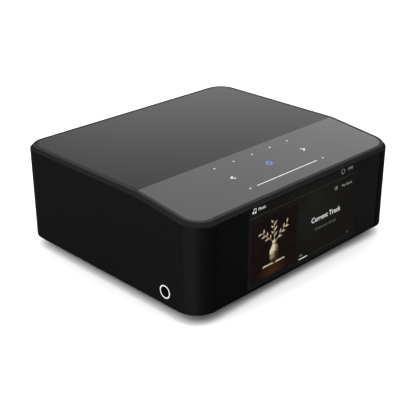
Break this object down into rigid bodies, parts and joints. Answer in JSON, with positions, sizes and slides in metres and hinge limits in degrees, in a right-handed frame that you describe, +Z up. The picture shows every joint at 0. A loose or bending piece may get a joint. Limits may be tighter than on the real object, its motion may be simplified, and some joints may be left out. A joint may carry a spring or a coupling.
{
  "type": "network audio player",
  "caption": "Desktop network audio player with a sloped touch panel, a glass front with a colour display, headphone sockets on the sides and a recessed rear socket panel.",
  "frame": {"origin": "on the floor, under the middle of the body", "axes": "+Z up, the front glass faces -Y, +X is to the right of someone facing the front"},
  "size_m": [0.22, 0.192, 0.084],
  "materials": {
    "anodised_shell": "satin black anodised",
    "satin_top": "fine satin black",
    "touch_surface": "satin black touch surface",
    "tinted_glass": "gloss black tinted glass",
    "display": "colour display",
    "plated_steel": "plated",
    "screw_steel": "satin",
    "black_screw": "black oxide",
    "sensor_plastic": "dark infrared filter",
    "circuit_board": "solder mask",
    "base_paint": "textured black powder coat",
    "foot_plastic": "matte",
    "pad_rubber": "matte",
    "brass_posts": "satin",
    "heat_sink_aluminium": "satin",
    "chip_plastic": "matte",
    "transformer_plastic": "wrapped",
    "capacitor_sleeve": "shrink sleeve",
    "bright_ring": "polished",
    "socket_plastic": "matte",
    "shutter_plastic": "matte",
    "contact_brass": "gold plated",
    "collar_plastic": "coloured insulators",
    "button_plastic": "matte",
    "flex_film": "amber film",
    "cable_sleeve": "sleeved wires"
  },
  "bodies": {
    "case": {"backlight_tray": "plated_steel", "base_plate": "base_paint", "base_screws": "black_screw", "board_posts": "brass_posts", "board_screws": "screw_steel", "chassis_left": "anodised_shell", "chassis_rear": "anodised_shell", "chassis_right": "anodised_shell", "display_bracket": "plated_steel", "display_flex": "flex_film", "display_screws": "screw_steel", "ethernet_jack": "plated_steel", "foot_front_left": "foot_plastic", "foot_front_right": "foot_plastic", "foot_pads": "pad_rubber", "foot_rear_left": "foot_plastic", "foot_rear_right": "foot_plastic", "foot_screws": "black_screw", "front_frame": "anodised_shell", "front_glass": "tinted_glass", "hdmi_port": "plated_steel", "headphone_bezel_left": "bright_ring", "headphone_bezel_right": "bright_ring", "headphone_jack_left": "socket_plastic", "headphone_jack_right": "socket_plastic", "heat_sink": "heat_sink_aluminium", "lcd_panel": "display", "main_board": "circuit_board", "main_board_chips": "chip_plastic", "mains_inlet": "socket_plastic", "mains_inlet_pins": "contact_brass", "optical_in_socket": "socket_plastic", "optical_out_socket": "socket_plastic", "output_board": "circuit_board", "phono_collars": "collar_plastic", "phono_digital": "contact_brass", "phono_left": "contact_brass", "phono_right": "contact_brass", "phono_subwoofer": "contact_brass", "power_harness": "cable_sleeve", "power_supply_board": "circuit_board", "proximity_sensor": "sensor_plastic", "rear_panel": "base_paint", "rear_panel_screws": "black_screw", "reset_switch": "socket_plastic", "smoothing_capacitors": "capacitor_sleeve", "supply_heat_sink": "heat_sink_aluminium", "top_cover": "satin_top", "touch_board": "circuit_board", "touch_panel": "touch_surface", "transformer": "transformer_plastic", "trigger_jack": "socket_plastic", "usb_c_port": "plated_steel", "usb_port": "plated_steel", "xlr_left": "socket_plastic", "xlr_pins": "contact_brass", "xlr_right": "socket_plastic"},
    "shutter_in": {"optical_in_shutter": "shutter_plastic"},
    "shutter_out": {"optical_out_shutter": "shutter_plastic"},
    "button": {"reset_button": "button_plastic"}
  },
  "joints": [
    {"name": "optical_in_shutter_hinge", "type": "hinge", "parent": "case", "child": "shutter_in", "pos_m": [-0.046, 0.0825, 0.02865], "axis": [-1, 0, 0], "range_deg": [0, 85], "stiffness_Nm_per_rad": 0.0004, "springref_deg": -11.46},
    {"name": "optical_out_shutter_hinge", "type": "hinge", "parent": "case", "child": "shutter_out", "pos_m": [-0.059, 0.0825, 0.02865], "axis": [-1, 0, 0], "range_deg": [0, 85], "stiffness_Nm_per_rad": 0.0004, "springref_deg": -11.46},
    {"name": "reset_button_slide", "type": "slide", "parent": "case", "child": "button", "axis": [0, -1, 0], "range_m": [0, 0.0008], "stiffness_N_per_m": 800, "springref_m": -0.0005}
  ]
}
